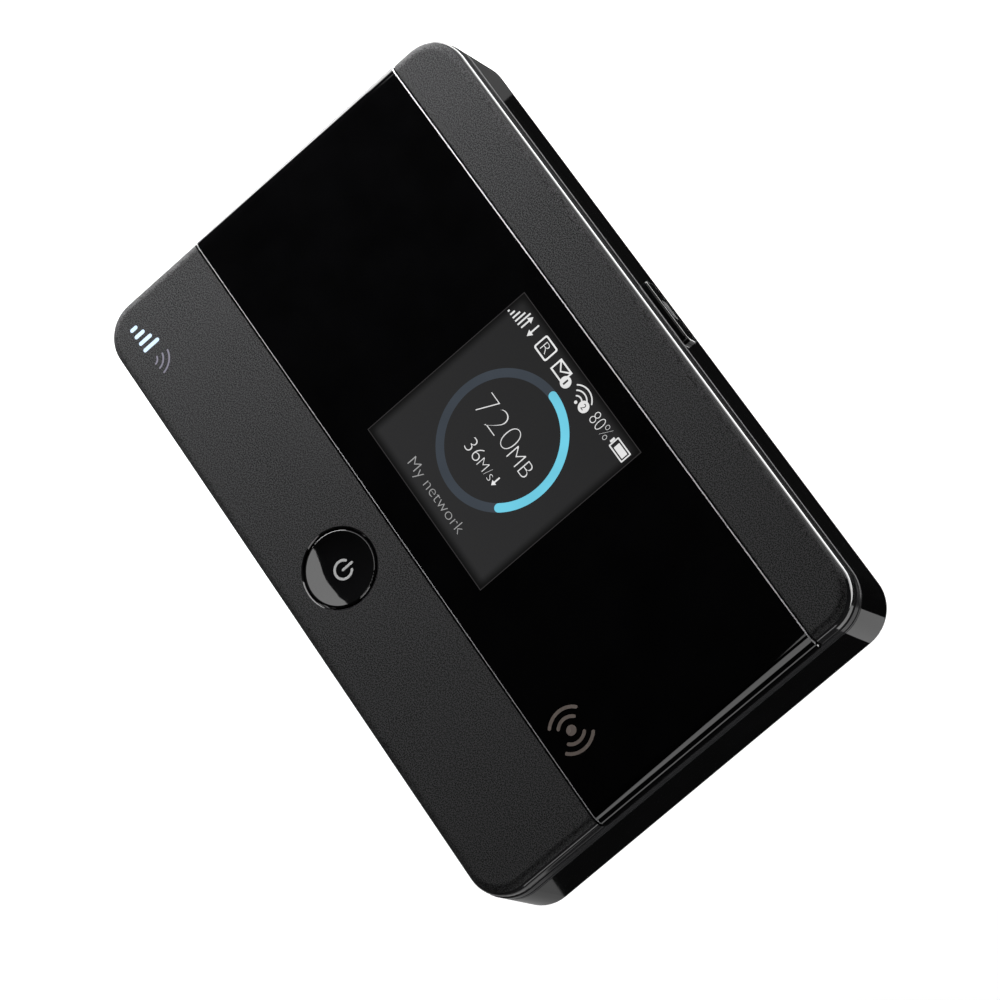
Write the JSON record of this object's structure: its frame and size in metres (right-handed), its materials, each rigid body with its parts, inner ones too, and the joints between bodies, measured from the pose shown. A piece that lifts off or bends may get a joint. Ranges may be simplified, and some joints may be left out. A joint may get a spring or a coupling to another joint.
{
  "type": "mobile hotspot",
  "caption": "Pocket mobile hotspot: matte face with a glossy display band, dished power button, side menu key, pull-off back, removable battery and cards.",
  "frame": {"origin": "centre of the flat back face that the hotspot rests on", "axes": "+X along the long side, in the reading direction of the display; +Y across the face towards the menu key; +Z out of the front face"},
  "size_m": [0.1062, 0.067, 0.0161],
  "materials": {
    "shell_matte": "fine spark-eroded texture",
    "lens_gloss": "polished",
    "adhesive": "tape",
    "trim_satin": "satin",
    "housing_gloss": "polished",
    "cover_matte": "fine spark-eroded texture",
    "chassis_plastic": "moulded",
    "screw_steel": "zinc plated",
    "button_gloss": "polished",
    "switch_body": "moulded",
    "switch_plunger": "moulded",
    "foam": "closed-cell foam",
    "sheet_steel": "pressed sheet",
    "display_glass": "polished",
    "backlight_film": "diffuse film",
    "flex_film": "polyimide film",
    "connector_plastic": "moulded",
    "board_laminate": "solder mask",
    "shield_metal": "tin plated sheet",
    "chip_package": "moulded",
    "thermal_rubber": "soft",
    "crystal_metal": "plated lid",
    "inductor_ferrite": "sintered",
    "capacitor_ceramic": "sintered",
    "connector_steel": "nickel plated",
    "gilt": "gold plated",
    "sim_plastic": "moulded",
    "memory_plastic": "moulded",
    "carrier_plastic": "moulded",
    "antenna_copper": "copper on film",
    "battery_case": "moulded",
    "label_film": "printed film"
  },
  "bodies": {
    "case": {"antenna_carriers": "carrier_plastic", "antenna_contacts": "gilt", "baseband_chip": "chip_package", "baseband_shield": "shield_metal", "battery_contact_block": "switch_body", "battery_contact_springs": "gilt", "capacitors": "capacitor_ceramic", "chassis": "chassis_plastic", "crystals": "crystal_metal", "display_backlight": "backlight_film", "display_bezel": "sheet_steel", "display_connector": "connector_plastic", "display_flex": "flex_film", "display_gasket": "foam", "display_glass": "display_glass", "display_lens": "lens_gloss", "front_shell": "shell_matte", "housing_screws": "screw_steel", "inductors": "inductor_ferrite", "lens_adhesive": "adhesive", "lower_housing": "housing_gloss", "lte_diversity_antenna": "antenna_copper", "lte_main_antenna": "antenna_copper", "main_board": "board_laminate", "memory_card_socket": "connector_steel", "memory_chip": "chip_package", "menu_switch_base": "switch_body", "power_management_chip": "chip_package", "power_shield": "shield_metal", "power_switch_base": "switch_body", "reset_switch_base": "switch_body", "rf_amplifiers": "chip_package", "rf_shield": "shield_metal", "rf_transceiver_chip": "chip_package", "sim_socket": "connector_steel", "thermal_pad": "thermal_rubber", "trim_ring": "trim_satin", "usb_receptacle": "connector_steel", "wifi_antenna": "antenna_copper", "wifi_chip": "chip_package", "wifi_shield": "shield_metal"},
    "power_button": {"power_button_cap": "button_gloss", "power_switch_plunger": "switch_plunger"},
    "menu_button": {"menu_key": "button_gloss", "menu_switch_plunger": "switch_plunger"},
    "reset_button": {"reset_switch_plunger": "switch_plunger"},
    "back": {"rear_cover": "cover_matte"},
    "battery": {"battery_pack": "battery_case", "battery_terminals": "gilt", "battery_label": "label_film"},
    "sim": {"sim_card": "sim_plastic", "sim_card_contacts": "gilt"},
    "memory": {"memory_card": "memory_plastic", "memory_card_contacts": "gilt"}
  },
  "joints": [
    {"name": "power_press", "type": "slide", "parent": "case", "child": "power_button", "axis": [0, 0, -1], "range_m": [0, 0.00035], "stiffness_N_per_m": 3000},
    {"name": "menu_press", "type": "slide", "parent": "case", "child": "menu_button", "axis": [0, -1, 0], "range_m": [0, 0.0003], "stiffness_N_per_m": 3000},
    {"name": "reset_press", "type": "slide", "parent": "case", "child": "reset_button", "axis": [0, 0, 1], "range_m": [0, 0.00025], "stiffness_N_per_m": 3000},
    {"name": "rear_cover_lift", "type": "slide", "parent": "case", "child": "back", "axis": [0, 0, -1], "range_m": [0, 0.03]},
    {"name": "battery_lift", "type": "slide", "parent": "case", "child": "battery", "axis": [0, 0, -1], "range_m": [0, 0.012]},
    {"name": "sim_slide", "type": "slide", "parent": "case", "child": "sim", "axis": [0, -1, 0], "range_m": [0, 0.012]},
    {"name": "memory_slide", "type": "slide", "parent": "case", "child": "memory", "axis": [0, 1, 0], "range_m": [0, 0.011]}
  ],
  "couplings": [
    {"joint": "battery_lift", "follows": "rear_cover_lift", "ratio": 0.4}
  ]
}
